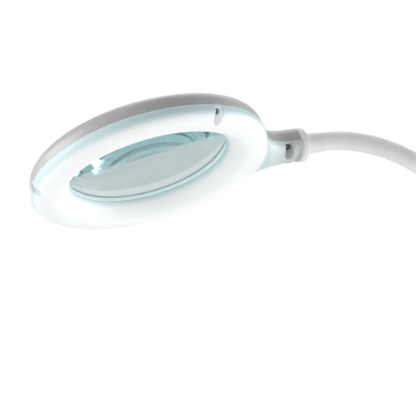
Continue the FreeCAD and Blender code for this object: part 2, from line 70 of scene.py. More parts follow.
# %% Head axes
LENS_MIDDLE = 4.0 * MM          # the lens's middle plane above the parting plane
head_z = -np.array(joints["button_press"]["axis"], float)
head_y = np.array([0.0, 1.0, 0.0])
head_x = np.cross(head_y, head_z)
lens_low, lens_high = (np.array(corner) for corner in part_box("lens"))
head_centre = (lens_low + lens_high) / 2 - LENS_MIDDLE * head_z


def from_head(x, y, z):
    """Points given along the head's axes, as points of the row frame (last axis is x, y, z)."""
    x, y, z = np.broadcast_arrays(x, y, z)
    return head_centre + x[..., None] * head_x + y[..., None] * head_y + z[..., None] * head_z


print("head centre", head_centre.round(4), "neck direction", head_x.round(3))

# %% [markdown]
# ## Colours and nodes
# Colours are written as the hex values a paint chart gives. Cycles works with linear light, so one
# function converts them. One more function adds a shader node with its settings and its links.

# %% Colour and node helpers
def linear(hex_colour):
    """sRGB hex to linear RGBA: each channel is divided by 12.92 below 0.04045, else raised to 2.4."""
    channels = [int(hex_colour[i:i + 2], 16) / 255 for i in (1, 3, 5)]
    return (*[c / 12.92 if c <= 0.04045 else ((c + 0.055) / 1.055)**2.4 for c in channels], 1.0)


def add(tree, kind, inputs=None, **settings):
    """One shader node: settings are its properties, and inputs are values or sockets to link."""
    made = tree.nodes.new("ShaderNode" + kind)
    for name, value in settings.items():
        setattr(made, name, value)
    for name, value in (inputs or {}).items():
        if isinstance(value, bpy.types.NodeSocket):
            tree.links.new(value, made.inputs[name])
        else:
            made.inputs[name].default_value = value
    return made


def new_material(name, **constants):
    """An empty finish: a Principled shader with its constants set on its own sockets."""
    made = bpy.data.materials.new(name)
    made.use_nodes = True
    tree = made.node_tree
    shader = tree.nodes["Principled BSDF"]
    for socket, value in constants.items():
        shader.inputs[socket.replace("_", " ")].default_value = value
    return made, tree, shader


def ramp(tree, factor, stops):
    """A colour ramp from (place, hex colour) stops."""
    made = add(tree, "ValToRGB", {"Fac": factor})
    elements = made.color_ramp.elements
    while len(elements) < len(stops):
        elements.new(0.5)
    for element, (place, colour) in zip(elements, stops):
        element.position = place
        element.color = linear(colour)
    return made.outputs["Color"]


# %% [markdown]
# ## Moulded plastic
# Housings, covers and collars are injection moulded: the steel mould is spark-eroded, which leaves
# a fine satin grain about 0.3 mm across. At lamp size that grain only softens reflections, so it is
# a low bump with a slow drift in roughness, and handling leaves faint marks a few centimetres wide.

# %% Moulded plastic
def moulded(name, light, dark, roughness, grain_mm=0.5, bump=0.04, cloud_mm=35.0, **constants):
    """Satin moulded plastic: two close tones in slow clouds, a fine grain, uneven roughness."""
    made, tree, shader = new_material(name, Roughness=roughness, **constants)
    place = add(tree, "TexCoord").outputs["Object"]
    clouds = add(tree, "TexNoise", {"Vector": place, "Scale": 1 / (cloud_mm * MM), "Detail": 3.0})
    grain = add(tree, "TexNoise", {"Vector": place, "Scale": 1 / (grain_mm * MM), "Detail": 2.0})
    tone = ramp(tree, clouds.outputs["Fac"], [(0.3, dark), (0.7, light)])
    rough = add(tree, "MapRange", {"Value": clouds.outputs["Fac"], "From Min": 0.3, "From Max": 0.7,
                                   "To Min": roughness - 0.05, "To Max": roughness + 0.06})
    relief = add(tree, "Bump", {"Height": grain.outputs["Fac"], "Strength": bump, "Distance": 0.1 * MM})
    tree.links.new(tone, shader.inputs["Base Color"])
    tree.links.new(rough.outputs["Result"], shader.inputs["Roughness"])
    tree.links.new(relief.outputs["Normal"], shader.inputs["Normal"])
    return made


housing_abs = moulded("silver_grey_abs", "#bfbebf", "#b6b5b7", 0.34)
white_abs = moulded("white_abs", "#f0f0ef", "#e9e9e8", 0.40)
cover_abs = moulded("lens_cover_abs", "#f0f1f1", "#e8eaea", 0.42)
button_abs = moulded("button_abs", "#b4b8bb", "#a9adb0", 0.38)
black_pbt = moulded("black_pbt", "#1d1d1e", "#161617", 0.45)
plate_abs = moulded("bottom_plate_abs", "#4a4b4d", "#424345", 0.5, grain_mm=0.8, bump=0.1)
plastics = (housing_abs, white_abs, cover_abs, button_abs, black_pbt, plate_abs)
print("moulded plastics", [finish.name for finish in plastics])

# %% [markdown]
# ## Soft sleeve, rubber and leads
# The arm's sleeve is extruded soft vinyl, which is matt with a slight sheen and shows no grain at
# arm's length, only slow waves from the extruder. The leads wear the same kind of plastic, and the
# feet are rubber.

# %% Soft sleeve, rubber, lead insulation
def extruded(name, light, dark, roughness, wave_mm=9.0, **constants):
    """Extruded soft plastic: two close tones, a slow wave in the surface and in the roughness."""
    made, tree, shader = new_material(name, Roughness=roughness, **constants)
    place = add(tree, "TexCoord").outputs["Object"]
    waves = add(tree, "TexNoise", {"Vector": place, "Scale": 1 / (wave_mm * MM), "Detail": 2.0})
    fine = add(tree, "TexNoise", {"Vector": place, "Scale": 1 / (0.9 * MM), "Detail": 2.0})
    tone = ramp(tree, waves.outputs["Fac"], [(0.3, dark), (0.7, light)])
    height = add(tree, "Math", {0: waves.outputs["Fac"], 1: fine.outputs["Fac"]}, operation="ADD")
    relief = add(tree, "Bump", {"Height": height.outputs["Value"], "Strength": 0.05, "Distance": 0.15 * MM})
    tree.links.new(tone, shader.inputs["Base Color"])
    tree.links.new(relief.outputs["Normal"], shader.inputs["Normal"])
    return made


sleeve_vinyl = extruded("white_vinyl_sleeve", "#f3f3f3", "#eeeeee", 0.48,
                        Subsurface_Weight=0.1, Subsurface_Scale=0.002)
foot_rubber = extruded("black_foot_rubber", "#232323", "#1a1a1a", 0.75)
lead_vinyl = extruded("black_lead_vinyl", "#26262a", "#1c1c20", 0.5)
print("soft plastics", sleeve_vinyl.name, foot_rubber.name, lead_vinyl.name)

# %% [markdown]
# ## Metals
# Screws, nuts and the hinge pin are cold-formed steel, turned or drawn, so their fine marks run
# round or along them. The weight is a casting: coarse sand texture under black paint. A metal's
# colour is its reflection, so metallic is 1 and the IOR keeps its default.

# %% Metals
def metal(name, light, dark, roughness, grain_mm, bump, stretch=(1.0, 1.0, 1.0), metallic=1.0):
    """Metal with its marks: noise stretched along the way it was worked drives tone and bump."""
    made, tree, shader = new_material(name, Roughness=roughness, Metallic=metallic)
    place = add(tree, "TexCoord").outputs["Object"]
    along = add(tree, "Mapping", {"Vector": place, "Scale": stretch})
    marks = add(tree, "TexNoise", {"Vector": along.outputs["Vector"], "Scale": 1 / (grain_mm * MM),
                                   "Detail": 3.0})
    tone = ramp(tree, marks.outputs["Fac"], [(0.3, dark), (0.7, light)])
    rough = add(tree, "MapRange", {"Value": marks.outputs["Fac"], "To Min": roughness - 0.08,
                                   "To Max": roughness + 0.08})
    relief = add(tree, "Bump", {"Height": marks.outputs["Fac"], "Strength": bump, "Distance": 0.1 * MM})
    tree.links.new(tone, shader.inputs["Base Color"])
    tree.links.new(rough.outputs["Result"], shader.inputs["Roughness"])
    tree.links.new(relief.outputs["Normal"], shader.inputs["Normal"])
    return made


screw_steel = metal("cold_formed_screw_steel", "#8f8f92", "#5c5c60", 0.28, 0.8, 0.1)
pin_steel = metal("drawn_pin_steel", "#b5b5b8", "#97979a", 0.25, 0.6, 0.08, stretch=(1.0, 0.1, 1.0))
nut_steel = metal("zinc_plated_steel", "#c3c5c8", "#a9abaf", 0.35, 1.5, 0.08)
core_steel = metal("spiral_core_steel", "#85868a", "#66676b", 0.4, 1.0, 0.15)
brass = metal("contact_brass", "#d9b96a", "#c4a352", 0.25, 0.7, 0.05)
cast_iron = metal("painted_cast_iron", "#2a2a2b", "#1f1f20", 0.7, 2.5, 0.6, metallic=0.0)
metals = (screw_steel, pin_steel, nut_steel, core_steel, brass, cast_iron)
print("metals", [finish.name for finish in metals])

# %% [markdown]
# ## Surfaces from arrays
# Every new piece is a grid of points worked out at once with numpy, so a shape is a formula in two
# parameters. A piece may need several grids, such as the two faces and the rim of a lens. Points
# that fall on each other are merged, so that the piece is closed, and each corner over a given
# angle is marked sharp, so that a face stays smooth right up to its edge.

# %% Mesh helpers
def quads(rows, columns, first, flip):
    """Index grid of faces between neighbouring rows and columns."""
    index = first + np.arange(rows * columns).reshape(rows, columns)
    a, b, c, d = index[:-1, :-1], index[1:, :-1], index[1:, 1:], index[:-1, 1:]
    faces = np.stack([a, d, c, b] if flip else [a, b, c, d], axis=-1)
    return faces.reshape(-1, 4)


def make_piece(name, grids, body, finish, sharp=35.0):
    """One object from grids of points; each grid is (points, flip), with x, y, z on the last axis."""
    points = []
    faces = []
    count = 0
    for grid, flip in grids:
        faces.append(quads(grid.shape[0], grid.shape[1], count, flip))
        points.append(grid.reshape(-1, 3))
        count += grid.shape[0] * grid.shape[1]
    points = np.concatenate(points)
    faces = np.concatenate(faces)
    keys = np.round(points / (0.001 * MM)).astype(np.int64)
    _, keep, welded = np.unique(keys, axis=0, return_index=True, return_inverse=True)
    faces = welded.reshape(-1)[faces]
    rings = [[v for i, v in enumerate(face) if v != face[i - 1]] for face in faces.tolist()]
    rings = [ring for ring in rings if len(set(ring)) == len(ring) and len(ring) > 2]
    mesh = bpy.data.meshes.new(name)
    mesh.from_pydata(points[keep], [], rings)
    mesh.update()
    mesh.shade_smooth()
    mesh.set_sharp_from_angle(angle=math.radians(sharp))
    mesh.materials.append(finish)
    made = bpy.data.objects.new(name, mesh)
    bpy.context.scene.collection.objects.link(made)
    if body:
        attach(made, body)
    print(f"{name}: {len(mesh.vertices)} points, {len(mesh.polygons)} faces")
    return made


def smooth(edge_low, edge_high, value):
    """Smoothstep: 0 below the low edge, 1 above the high one, and 3t^2 - 2t^3 between."""
    t = np.clip((value - edge_low) / (edge_high - edge_low), 0, 1)
    return t * t * (3 - 2 * t)


# %% [markdown]
# ## The arm's line
# The arm rises straight from the base and then follows one arc over to the head. Its joints lie on
# that line, so the line can be found from them: the stem's joints give the upright, and the circle
# through the three arch joints gives the arc.

# %% Arm line from the joints
def joint_at(name):
    """Where a joint sits, in the row frame."""
    return np.array(joints[name]["pos_m"], float)


def circle_through(a, b, c):
    """Centre and radius of the circle in the XZ plane at equal distance from three points."""
    rows = 2 * np.array([(b - a)[[0, 2]], (c - a)[[0, 2]]])
    sums = np.array([b @ b - a @ a, c @ c - a @ a])
    x, z = np.linalg.solve(rows, sums)
    centre = np.array([x, 0.0, z])
    return centre, np.linalg.norm(a - centre)


stem_x = joint_at("stem_pitch_1")[0]
arm_foot = np.array([stem_x, 0.0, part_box("arm_sleeve_base")[0][2]])
arch_centre, arch_radius = circle_through(
    joint_at("arch_pitch_1"), joint_at("arch_side_1"), joint_at("arch_side_2"))
stem_length = arch_centre[2] - arm_foot[2]
arch_turn = math.pi / 2 + math.atan2(head_x[2], head_x[0])
arm_length = stem_length + arch_radius * arch_turn


def arm_line(s):
    """Centre line and its direction at lengths s: upright first, then round the arc."""
    turn = np.clip(s - stem_length, 0, None) / arch_radius
    rise = np.minimum(s, stem_length)
    x = arch_centre[0] + arch_radius * np.cos(turn)
    z = arm_foot[2] + rise + arch_radius * np.sin(turn)
    zero = np.zeros_like(turn)
    return np.stack([x, zero, z], -1), np.stack([-np.sin(turn), zero, np.cos(turn)], -1)


def length_of(point):
    """Where along the arm a point on its line lies."""
    if point[2] <= arch_centre[2]:
        return point[2] - arm_foot[2]
    turn = math.atan2(point[2] - arch_centre[2], point[0] - arch_centre[0])
    return stem_length + arch_radius * turn


arm_joints = [joint for joint in frame["joints"] if joint["name"].startswith(("stem", "arch"))]
bends = [length_of(np.array(joint["pos_m"], float)) for joint in arm_joints]
print("arm length", round(arm_length, 4), "bends at", [round(b, 4) for b in bends])

# %% [markdown]
# ## The arm's sleeve
# On the real arm one long sleeve is pulled over the spiral core. A piece can bend across only one joint, so
# the sleeve is made as one length per joint, each from the middle of one link to the middle of the next.
# Here the sleeve is made as one length per joint, each from the middle of one link to the middle of the
# next, and the lengths meet end to end. A tube is a circle carried along the arm's line.

# %% Sleeve lengths
sleeve_radius = (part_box("arm_sleeve_base")[1][1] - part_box("arm_sleeve_base")[0][1]) / 2
SLEEVE_WALL = 1.6 * MM
SLEEVE_STEP = 1.5 * MM          # one ring of points this often along the arm


def tube_grid(s, radius, around=48):
    """A circle of the given radius at each length s, square to the arm's line."""
    centre, direction = arm_line(s)
    side = np.cross(direction, head_y)
    angle = np.linspace(0, 2 * math.pi, around + 1)
    angle[-1] = 0.0
    ring = np.cos(angle)[:, None] * head_y + np.sin(angle)[:, None] * side[:, None, :]
    return centre[:, None, :] + np.reshape(radius, (-1, 1, 1)) * ring


def sleeve_piece(k):
    """The sleeve round joint k: outer face, bore and two flat ends."""
    start = 0.0 if k == 0 else (bends[k - 1] + bends[k]) / 2
    end = arm_length if k == len(bends) - 1 else (bends[k] + bends[k + 1]) / 2
    s = np.linspace(start, end, max(8, int((end - start) / SLEEVE_STEP)))
    outer = tube_grid(s, np.full(len(s), sleeve_radius))
    bore = tube_grid(s, np.full(len(s), sleeve_radius - SLEEVE_WALL))
    first = np.stack([bore[0], outer[0]])
    last = np.stack([outer[-1], bore[-1]])
    faces = [(outer, False), (bore, True), (first, False), (last, False)]
    piece = make_piece(f"sleeve_length_{k + 1}", faces, None, sleeve_vinyl)
    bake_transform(piece)
    return piece


sleeves = [sleeve_piece(k) for k in range(len(bends))]
sleeve_nodes = ["arm_sleeve_base"] + [f"arm_sleeve_{k}" for k in range(1, len(bends))] + ["arm_sleeve_head"]
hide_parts(*sleeve_nodes[:2])
for piece, node_name in zip(sleeves[1:], sleeve_nodes[2:]):
    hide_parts(node_name)

# %% [markdown]
# ## The lit lower cover
# On the real head one frosted moulding is both the light's ring and the underside of the neck. Its
# edge is rounded, it slopes up to the lens, and the neck grows out of the ring through a wide
# hollow. The outline is walked along its edge, and from each point a line runs inwards, square to
# the edge, as far as the lens opening or the neck's middle. The depth is a formula of the distance
# from the edge and from the lens. Solidify then gives the moulding its wall.

# %% Outline of the head
cover_low, cover_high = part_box("diffuser_cover")
HEAD_RADIUS = (cover_high[1] - cover_low[1]) / 2
NECK_HALF = 10.7 * MM
NECK_BLEND = 25.0 * MM          # hollow between ring and neck
NECK_END = 104.0 * MM
OPENING = 50.8 * MM             # radius of the inner edge
COVER_DEPTH = 9.5 * MM
COVER_WALL = 1.8 * MM
LIP_HEIGHT = 2.0 * MM
EDGE_WIDTH = 10.7 * MM          # how far the rounded edge reaches in
SLOPE_WIDTH = 12.5 * MM         # how far the slope round the lens reaches out
EDGE_BULGE = 1.0 * MM           # the edge swells this far past the parting line
SWELL_START = 80 * MM           # the swelling grows from none at the neck's end to full here
SCREW_ANGLES = (72.0, 180.0)    # from the neck; the first has its mirror image
STRAIGHT_STEPS = 56


def half_outline():
    """One side of the head's outline, from the neck's end to the far side: points and inward normals.

    A straight run at half the neck's width, an arc about a centre outside, then the ring's arc. The
    outside centre lies one blend radius from the straight run and from the ring. The ring has a
    point each degree, and five times as many near a screw, whose pocket has steep walls."""
    across = NECK_HALF + NECK_BLEND
    centre = np.array([math.sqrt((HEAD_RADIUS + NECK_BLEND)**2 - across**2), across])
    touch = math.atan2(centre[1], centre[0])
    straight_x = np.linspace(NECK_END, centre[0], STRAIGHT_STEPS)
    straight = np.stack([straight_x, np.full(STRAIGHT_STEPS, NECK_HALF)], -1)
    turn = np.linspace(-math.pi / 2, touch - math.pi, 110)[1:]
    outward = np.stack([np.cos(turn), np.sin(turn)], -1)
    hollow = centre + NECK_BLEND * outward
    angles = np.arange(math.degrees(touch), 180.0, 1.0)
    near = [np.arange(-6.0, 6.001, 0.2) + a for a in SCREW_ANGLES]
    angles = np.unique(np.concatenate([angles, *near]).round(3))
    angles = np.radians(np.append(angles[(angles > math.degrees(touch)) & (angles < 180.0)], 180.0))
    unit = np.stack([np.cos(angles), np.sin(angles)], -1)
    points = np.concatenate([straight, hollow, HEAD_RADIUS * unit])
    normals = np.concatenate([np.tile([0.0, -1.0], (STRAIGHT_STEPS, 1)), outward, -unit])
    return points, normals


def inward_reach(points, normals, opening):
    """How far each line runs: to the opening's circle, or to the neck's middle where that is nearer."""
    across = points[:, 1] / np.maximum(-normals[:, 1], 1e-9)
    hit = points[:, 0] + across * normals[:, 0]
    b = np.sum(points * normals, 1)
    inside = b**2 - (np.sum(points**2, 1) - opening**2)
    to_circle = -b - np.sqrt(np.maximum(inside, 0.0))
    on_neck = (hit >= opening) & (normals[:, 1] < -1e-6)
    return np.where(on_neck, across, to_circle)


# %% Depth of the lower cover
POCKET_HALF = 3.2 * MM
POCKET_INNER = 71.0 * MM        # middle of the closed, round end of a ring screw's pocket
POCKET_FLOOR = 1.2 * MM
POCKET_WALL = 0.7 * MM          # width of the pocket's steep wall
GROOVE_DEPTH = 1.3 * MM
GROOVE_NEAR = (99.6 * MM, 100.4 * MM)   # its soft side towards the lens
GROOVE_FAR = (103.4 * MM, 102.8 * MM)   # its soft side towards the collar
NECK_SCREW = (93.5 * MM, 5.5 * MM)  # along the neck, and to each side


def pocket_depths(x, y):
    """1 in a screw pocket and 0 outside: slots with one round end, which run out through the edge."""
    found = np.zeros_like(x)
    for angle in (SCREW_ANGLES[0], SCREW_ANGLES[1], -SCREW_ANGLES[0]):
        a = math.radians(angle)
        out = x * math.cos(a) + y * math.sin(a)
        side = -x * math.sin(a) + y * math.cos(a)
        from_end = np.hypot(np.minimum(out - POCKET_INNER, 0.0), side)
        found = np.maximum(found, smooth(0.0, POCKET_WALL, POCKET_HALF - from_end) * (out > 0))
    along, out = NECK_SCREW
    from_end = np.hypot(x - along, np.minimum(np.abs(y) - out, 0.0))
    return np.maximum(found, smooth(0.0, POCKET_WALL, POCKET_HALF - from_end))


def end_groove(x):
    """1 in the shallow groove before the collar, 0 outside it, with soft sides."""
    return smooth(*GROOVE_NEAR, x) * smooth(*GROOVE_FAR, x)


def cover_height(x, y, s):
    """Height of the underside: a superellipse across the rounded edge, then a rise to the lens.

    With t the share of the edge's width, z = -depth (1 - (1 - t)^2.2)^(1 / 2.2). With e the share of
    the slope's width outside the opening, (depth + lip) (1 - e)^2.1 is added. A pocket lifts it."""
    t = np.clip(s / EDGE_WIDTH, 0.0, 1.0)
    height = -COVER_DEPTH * (1 - (1 - t)**2.2)**(1 / 2.2)
    e = np.clip((np.hypot(x, y) - OPENING) / SLOPE_WIDTH, 0.0, 1.0)
    height = height + (COVER_DEPTH + LIP_HEIGHT) * (1 - e)**2.1
    return height + pocket_depths(x, y) * np.maximum(-POCKET_FLOOR - height, 0.0)


def mirrored(half):
    """Both sides of the outline as one run: the far side's point is shared."""
    other = half[:-1][::-1].copy()
    other[..., 1] *= -1
    return np.concatenate([half, other])


def cover_grid():
    """The whole underside: rows along the outline, columns from the edge inwards.

    Columns crowd at the edge, where the surface turns most, and the edge swells past the outline."""
    points, normals = half_outline()
    reach = inward_reach(points, normals, OPENING)
    edge = np.minimum(EDGE_WIDTH, 0.8 * reach)
    first = 1 - np.cos(np.linspace(0, math.pi / 2, 30))
    rest = np.linspace(0, 1, 44)[1:]
    s = np.concatenate([edge[:, None] * first, edge[:, None] + (reach - edge)[:, None] * rest], 1)
    plan = points[:, None] + normals[:, None] * s[..., None]
    plan[np.abs(plan[..., 1]) < 1e-7, 1] = 0.0
    height = cover_height(plan[..., 0], plan[..., 1], s)
    swell = np.sin(math.pi * np.clip(-height / COVER_DEPTH, 0, 1)) * (s < EDGE_WIDTH)
    groove = end_groove(plan[..., 0]) * smooth(0.5 * MM, 3 * MM, s)
    height = height + GROOVE_DEPTH * groove
    swell = EDGE_BULGE * swell * smooth(NECK_END, SWELL_START, points[:, :1])
    plan = plan - normals[:, None] * swell[..., None]
    return mirrored(np.concatenate([plan, height[..., None]], -1))


# %% [markdown]
# ## Frosted, lit plastic
# The cover is frosted polycarbonate, lit from inside by a ring of small lamps. Seen from outside it
# is an even white glow that turns faintly blue-green where the wall is seen edge on, and it fades
# along the neck, where no lamps sit. Glow is therefore a value stored on the points, and the shader
# turns it into light. It stands in for the light of the lamps inside, which isn't traced, and so
# does the blue-green at the edges.

# %% Frosted finish
GLOW = 0.2                      # emission strength of the lit ring
frosted_pc, tree, shader = new_material("frosted_polycarbonate", Roughness=0.45, IOR=1.58)
place = add(tree, "TexCoord").outputs["Object"]
glow = add(tree, "Attribute", attribute_name="glow").outputs["Fac"]
rim = add(tree, "Attribute", attribute_name="rim").outputs["Fac"]
haze = add(tree, "TexNoise", {"Vector": place, "Scale": 1 / (14 * MM), "Detail": 2.0})
grain = add(tree, "TexNoise", {"Vector": place, "Scale": 1 / (0.6 * MM), "Detail": 2.0})
tint = ramp(tree, rim, [(0.0, "#ffffff"), (0.45, "#eefcfc"), (1.0, "#b5e4e6")])
# Base colour greyer where the glow is low, along the neck: painted shade on the unlit part of the moulding.
painted_neck_shade = ramp(tree, glow, [(0.0, "#cdd0d1"), (0.5, "#dfe5e5"), (1.0, "#eceff0")])
uneven = add(tree, "MapRange", {"Value": haze.outputs["Fac"], "To Min": GLOW * 0.96,
                                "To Max": GLOW * 1.04})
dimmed = add(tree, "MapRange", {"Value": rim, "To Min": 1.0, "To Max": 0.55})
spread = add(tree, "Math", {0: uneven.outputs["Result"], 1: dimmed.outputs["Result"]},
             operation="MULTIPLY")
power = add(tree, "Math", {0: glow, 1: spread.outputs["Value"]}, operation="MULTIPLY")
# Base colour darker and blue-green where the wall is seen edge on: painted shade at the edges.
painted_edge_shade = ramp(tree, rim, [(0.0, "#ffffff"), (0.5, "#eaf4f4"), (1.0, "#cfe2e3")])
surface = add(tree, "MixRGB", {0: 1.0, 1: painted_neck_shade, 2: painted_edge_shade}, blend_type="MULTIPLY")
relief = add(tree, "Bump", {"Height": grain.outputs["Fac"], "Strength": 0.04, "Distance": 0.1 * MM})
tree.links.new(surface.outputs["Color"], shader.inputs["Base Color"])
tree.links.new(tint, shader.inputs["Emission Color"])
tree.links.new(power.outputs["Value"], shader.inputs["Emission Strength"])
tree.links.new(relief.outputs["Normal"], shader.inputs["Normal"])


def store(piece, name, value_of):
    """A value per point, worked out from the point's place along the head's axes."""
    co = np.empty(len(piece.data.vertices) * 3)
    piece.data.vertices.foreach_get("co", co)
    local = (co.reshape(-1, 3) - head_centre) @ np.stack([head_x, head_y, head_z], 1)
    layer = piece.data.attributes.new(name, "FLOAT", "POINT")
    layer.data.foreach_set("value", value_of(local).astype(np.float32))


# %% Build the lower cover
# The glow value also sets the painted shade of the cover's base colour along the neck.
def cover_glow(p):
    """Full on the ring, fading along the neck."""
    return smooth(97 * MM, 66 * MM, p[:, 0])


# The rim value places the painted blue-green edge light and the painted edge shade.
def cover_rim(p):
    """Rises at the outer edge and at the lens, where the wall is seen edge on."""
    r = np.hypot(p[:, 0], p[:, 1])
    outer = smooth(HEAD_RADIUS - 3 * MM, HEAD_RADIUS + 1 * MM, r) * smooth(90 * MM, 70 * MM, p[:, 0])
    inner = smooth(OPENING + 3 * MM, OPENING, r)
    return np.maximum(outer, 0.8 * inner)


grid = cover_grid()
lower_cover = make_piece("lit_lower_cover", [(from_head(grid[..., 0], grid[..., 1], grid[..., 2]), True)],
                         "head", frosted_pc, sharp=50.0)
store(lower_cover, "glow", cover_glow)
store(lower_cover, "rim", cover_rim)
wall = lower_cover.modifiers.new("wall", "SOLIDIFY")
wall.thickness = COVER_WALL
wall.offset = -1.0
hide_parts("diffuser_cover")
up_share = np.mean([p.normal @ Vector(head_z) for p in lower_cover.data.polygons])
print("lower cover faces look down:", up_share < 0)

# %% [markdown]
# ## The lens
# The lens is a thick biconvex glass with a small stronger lens worked into its lower face. Glass
# bends light at every face, so the lens is one closed body with true spherical faces: a facet or
# an inner wall would show. Each face is a part of a sphere, and the small lens is a part of a
# smaller sphere that meets the big one in an exact circle.

# %% Lens faces
LENS_CURVE = 347.0 * MM
LENS_LAND = 1.8 * MM            # flat ground rim
LENS_BOTTOM = 2.5 * MM          # its rim's lower face, above the parting plane
LENS_EDGE = 3.0 * MM
INSET_RADIUS = 12.5 * MM
INSET_CURVE = 70.0 * MM
INSET_PLACE = 36.0 * MM
INSET_ANGLE = math.radians(193.0)
LENS_AROUND = 192               # points round the lens
FACE_RINGS = 56                 # rings of points on each big face
lens_radius = (lens_high[1] - lens_low[1]) / 2
lens_clear = lens_radius - LENS_LAND
lens_top = LENS_BOTTOM + LENS_EDGE
turns = np.linspace(0, 2 * math.pi, LENS_AROUND + 1)
turns[-1] = 0.0
circle = np.stack([np.cos(turns), np.sin(turns)], -1)


def sphere_rise(r, curve):
    """How far a sphere's face stands above the plane of the lens's clear edge."""
    return np.sqrt(curve**2 - r**2) - math.sqrt(curve**2 - lens_clear**2)


def level_rings(radii, heights):
    """One level circle about the lens's axis for each radius and height."""
    flat = radii[:, None, None] * circle
    level = np.broadcast_to(heights[:, None, None], (*flat.shape[:2], 1))
    return np.concatenate([flat, level], -1)


def inset_grid():
    """The small lens: rings on its own sphere, out to the circle where it meets the big one."""
    low_centre = np.array([0, 0, LENS_BOTTOM + math.sqrt(LENS_CURVE**2 - lens_clear**2)])
    at = np.array([math.cos(INSET_ANGLE), math.sin(INSET_ANGLE), 0]) * INSET_PLACE
    out = at - np.array([0, 0, math.sqrt(LENS_CURVE**2 - INSET_PLACE**2)])
    out = out / np.linalg.norm(out)
    first = np.cross(out, [0.0, 1.0, 0.0])
    first = first / np.linalg.norm(first)
    second = np.cross(first, out)
    level = math.sqrt(LENS_CURVE**2 - INSET_RADIUS**2)
    centre = low_centre + out * (level - math.sqrt(INSET_CURVE**2 - INSET_RADIUS**2))
    r = np.linspace(0, INSET_RADIUS, 24)[:, None, None]
    around = circle[:, :1] * first + circle[:, 1:] * second
    return centre + out * np.sqrt(INSET_CURVE**2 - r**2) + r * around


def lens_grids():
    """The small lens, the lower face round it, the ground edge and the upper face, as four grids.

    The lower face runs in straight plan lines from the small lens's edge to the clear edge."""
    inset = inset_grid()
    rim = inset[-1]
    t = np.linspace(0, 1, FACE_RINGS)[:, None, None]
    plan = rim[:, :2] + t * (lens_clear * circle - rim[:, :2])
    low = LENS_BOTTOM - sphere_rise(np.linalg.norm(plan, axis=-1), LENS_CURVE)
    lower = np.concatenate([plan, low[..., None]], -1)
    lower[0] = rim
    edge_r = np.array([lens_clear, lens_radius, lens_radius, lens_clear])
    edge_z = np.array([LENS_BOTTOM, LENS_BOTTOM, lens_top, lens_top])
    edge = level_rings(edge_r, edge_z)
    r = np.linspace(lens_clear, 0, FACE_RINGS)
    high = lens_top + sphere_rise(r, LENS_CURVE)
    return [inset, lower, edge, level_rings(r, high)]


# %% [markdown]
# ## Optical glass
# The lens is clear crown glass. Its slight blue-green shows only where light travels far inside
# it, which happens where the far face throws the light back, so the colour is an absorption per
# length and not a colour of the surface.

# %% Glass finish
lens_glass, tree, shader = new_material("crown_glass", Roughness=0.0, IOR=1.52, Transmission_Weight=1.0)
place = add(tree, "TexCoord").outputs["Object"]
film = add(tree, "TexNoise", {"Vector": place, "Scale": 1 / (22 * MM), "Detail": 4.0})
wiped = add(tree, "MapRange", {"Value": film.outputs["Fac"], "From Min": 0.5, "From Max": 0.8,
                               "To Min": 0.0, "To Max": 0.02})
tree.links.new(wiped.outputs["Result"], shader.inputs["Roughness"])
depth_tint = add(tree, "VolumeAbsorption", {"Color": (0.0, 0.62, 0.66, 1.0), "Density": 9.5})
output = tree.nodes["Material Output"]
tree.links.new(depth_tint.outputs["Volume"], output.inputs["Volume"])

lens_faces = [(from_head(g[..., 0], g[..., 1], g[..., 2]), True) for g in lens_grids()]
lens_piece = make_piece("magnifying_lens", lens_faces, "head", lens_glass, sharp=3.0)
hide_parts("lens", "inset_lens")


def signed_volume(piece):
    """Sum over triangles of a . (b x c) / 6: positive when the faces look outwards."""
    mesh = piece.data
    mesh.calc_loop_triangles()
    index = np.empty(len(mesh.loop_triangles) * 3, np.int32)
    mesh.loop_triangles.foreach_get("vertices", index)
    co = np.empty(len(mesh.vertices) * 3)
    mesh.vertices.foreach_get("co", co)
    a, b, c = co.reshape(-1, 3)[index.reshape(-1, 3)].transpose(1, 0, 2)
    return float(np.sum(a * np.cross(b, c)) / 6)


print("lens volume, cubic centimetres", round(signed_volume(lens_piece) * 1e6, 1))

# %% [markdown]
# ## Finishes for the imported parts
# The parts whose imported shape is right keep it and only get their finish.

# %% Assign finishes
led_resin, tree, shader = new_material("led_resin", Roughness=0.3, Emission_Strength=1.5)
place = add(tree, "TexCoord").outputs["Object"]
cells = add(tree, "TexNoise", {"Vector": place, "Scale": 1 / (2 * MM)})
phosphor = ramp(tree, cells.outputs["Fac"], [(0.3, "#fff8dc"), (0.7, "#fffdf2")])
tree.links.new(phosphor, shader.inputs["Base Color"])
tree.links.new(phosphor, shader.inputs["Emission Color"])
solder_mask = moulded("white_solder_mask", "#e9ece9", "#dfe3df", 0.35, grain_mm=1.2)
# The retainer and the gasket glow with their own emission: painted light from the lamps inside the head,
# which isn't traced.
retainer_painted_glow = moulded("retainer_polycarbonate_painted_glow", "#e4eeee", "#dce8e8", 0.35, Emission_Strength=0.6)
gasket_painted_glow = moulded("white_silicone_painted_glow", "#dfe9e9", "#d3e0e0", 0.4, Emission_Strength=0.5)
for painted_glow_part, colour in ((retainer_painted_glow, "#cfeff0"), (gasket_painted_glow, "#c4ecee")):
    painted_glow_part.node_tree.nodes["Principled BSDF"].inputs["Emission Color"].default_value = linear(colour)


